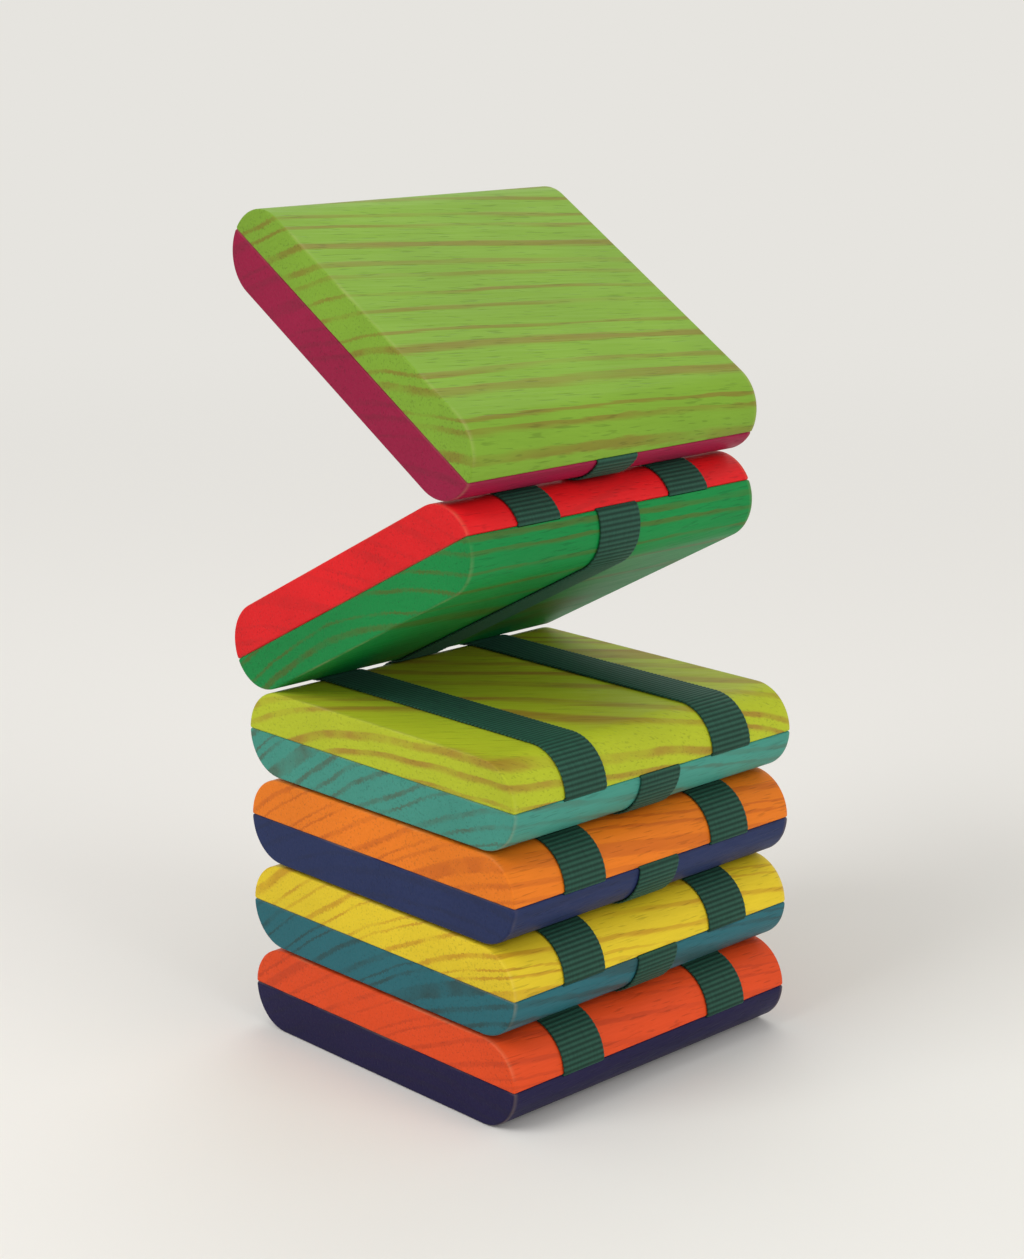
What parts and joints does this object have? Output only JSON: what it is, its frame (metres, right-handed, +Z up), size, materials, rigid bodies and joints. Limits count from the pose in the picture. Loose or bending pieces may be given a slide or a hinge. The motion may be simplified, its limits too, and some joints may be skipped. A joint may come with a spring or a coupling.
{
  "type": "jacobs ladder toy",
  "caption": "Jacob's ladder toy: a chain of flat stained-wood tablets joined by crossed ribbons, so each tablet rolls over on the next; stacked closed below, part unfolded above.",
  "frame": {"origin": "middle of the underside of the lowest tablet", "axes": "+Z up through the stack; +X along the tablets, towards the rounded ends where the outer ribbons show; Y along the hinge lines, with -Y the front side"},
  "size_m": [0.0612, 0.057, 0.1241],
  "materials": {
    "lime_stained_wood": "satin stain, grain showing",
    "crimson_stained_wood": "satin stain, grain showing",
    "red_stained_wood": "satin stain, grain showing",
    "green_stained_wood": "satin stain, grain showing",
    "chartreuse_stained_wood": "satin stain, grain showing",
    "sea_green_stained_wood": "satin stain, grain showing",
    "orange_stained_wood": "satin stain, grain showing",
    "navy_stained_wood": "satin stain, grain showing",
    "yellow_stained_wood": "satin stain, grain showing",
    "petrol_stained_wood": "satin stain, grain showing",
    "vermilion_stained_wood": "satin stain, grain showing",
    "indigo_stained_wood": "satin stain, grain showing",
    "ribbon": "dark green grosgrain ribbon"
  },
  "bodies": {
    "tablet_1": {"tablet_1_upper_board": "lime_stained_wood", "tablet_1_lower_board": "crimson_stained_wood", "front_ribbon_1_2_run": "ribbon", "back_ribbon_1_2_run": "ribbon"},
    "tablet_2": {"tablet_2_upper_board": "red_stained_wood", "tablet_2_lower_board": "green_stained_wood", "centre_ribbon_1_2_run": "ribbon", "centre_ribbon_2_3_run": "ribbon"},
    "tablet_3": {"tablet_3_upper_board": "chartreuse_stained_wood", "tablet_3_lower_board": "sea_green_stained_wood", "front_ribbon_2_3_run": "ribbon", "back_ribbon_2_3_run": "ribbon", "front_ribbon_3_4_run": "ribbon", "back_ribbon_3_4_run": "ribbon"},
    "tablet_4": {"tablet_4_upper_board": "orange_stained_wood", "tablet_4_lower_board": "navy_stained_wood", "centre_ribbon_3_4_run": "ribbon", "centre_ribbon_4_5_run": "ribbon"},
    "tablet_5": {"tablet_5_upper_board": "yellow_stained_wood", "tablet_5_lower_board": "petrol_stained_wood", "front_ribbon_4_5_run": "ribbon", "back_ribbon_4_5_run": "ribbon", "front_ribbon_5_6_run": "ribbon", "back_ribbon_5_6_run": "ribbon"},
    "tablet_6": {"tablet_6_upper_board": "vermilion_stained_wood", "tablet_6_lower_board": "indigo_stained_wood", "centre_ribbon_5_6_run": "ribbon"},
    "hinge_1_2": {"front_ribbon_1_2_turn": "ribbon", "centre_ribbon_1_2_turn": "ribbon", "back_ribbon_1_2_turn": "ribbon"},
    "hinge_2_3": {"front_ribbon_2_3_turn": "ribbon", "centre_ribbon_2_3_turn": "ribbon", "back_ribbon_2_3_turn": "ribbon"},
    "hinge_3_4": {"front_ribbon_3_4_turn": "ribbon", "centre_ribbon_3_4_turn": "ribbon", "back_ribbon_3_4_turn": "ribbon"},
    "hinge_4_5": {"front_ribbon_4_5_turn": "ribbon", "centre_ribbon_4_5_turn": "ribbon", "back_ribbon_4_5_turn": "ribbon"},
    "hinge_5_6": {"front_ribbon_5_6_turn": "ribbon", "centre_ribbon_5_6_turn": "ribbon", "back_ribbon_5_6_turn": "ribbon"}
  },
  "joints": [
    {"name": "fold_1_2", "type": "hinge", "parent": "tablet_2", "child": "hinge_1_2", "pos_m": [0.01358, 0, 0.08076], "axis": [0, 1, 0], "range_deg": [-30, 60], "deforming": ["front_ribbon_1_2_turn", "centre_ribbon_1_2_turn", "back_ribbon_1_2_turn"]},
    {"name": "roll_1_2", "type": "hinge", "parent": "hinge_1_2", "child": "tablet_1", "pos_m": [0.01405, 0, 0.09425], "axis": [0, 1, 0], "range_deg": [-30, 60]},
    {"name": "fold_2_3", "type": "hinge", "parent": "tablet_3", "child": "hinge_2_3", "pos_m": [-0.022, 0, 0.047], "axis": [0, -1, 0], "range_deg": [-14, 76], "deforming": ["front_ribbon_2_3_turn", "centre_ribbon_2_3_turn", "back_ribbon_2_3_turn"]},
    {"name": "roll_2_3", "type": "hinge", "parent": "hinge_2_3", "child": "tablet_2", "pos_m": [-0.02527, 0, 0.0601], "axis": [0, -1, 0], "range_deg": [-14, 76]},
    {"name": "fold_3_4", "type": "hinge", "parent": "tablet_3", "child": "hinge_3_4", "pos_m": [0.022, 0, 0.047], "axis": [0, -1, 0], "range_deg": [0, 90], "deforming": ["front_ribbon_3_4_turn", "centre_ribbon_3_4_turn", "back_ribbon_3_4_turn"]},
    {"name": "roll_3_4", "type": "hinge", "parent": "hinge_3_4", "child": "tablet_4", "pos_m": [0.022, 0, 0.0335], "axis": [0, -1, 0], "range_deg": [0, 90]},
    {"name": "fold_4_5", "type": "hinge", "parent": "tablet_4", "child": "hinge_4_5", "pos_m": [-0.022, 0, 0.0335], "axis": [0, 1, 0], "range_deg": [0, 90], "deforming": ["front_ribbon_4_5_turn", "centre_ribbon_4_5_turn", "back_ribbon_4_5_turn"]},
    {"name": "roll_4_5", "type": "hinge", "parent": "hinge_4_5", "child": "tablet_5", "pos_m": [-0.022, 0, 0.02], "axis": [0, 1, 0], "range_deg": [0, 90]},
    {"name": "fold_5_6", "type": "hinge", "parent": "tablet_5", "child": "hinge_5_6", "pos_m": [0.022, 0, 0.02], "axis": [0, -1, 0], "range_deg": [0, 90], "deforming": ["front_ribbon_5_6_turn", "centre_ribbon_5_6_turn", "back_ribbon_5_6_turn"]},
    {"name": "roll_5_6", "type": "hinge", "parent": "hinge_5_6", "child": "tablet_6", "pos_m": [0.022, 0, 0.0065], "axis": [0, -1, 0], "range_deg": [0, 90]}
  ],
  "couplings": [
    {"joint": "roll_1_2", "follows": "fold_1_2", "ratio": 1},
    {"joint": "roll_2_3", "follows": "fold_2_3", "ratio": 1},
    {"joint": "roll_3_4", "follows": "fold_3_4", "ratio": 1},
    {"joint": "roll_4_5", "follows": "fold_4_5", "ratio": 1},
    {"joint": "roll_5_6", "follows": "fold_5_6", "ratio": 1}
  ]
}
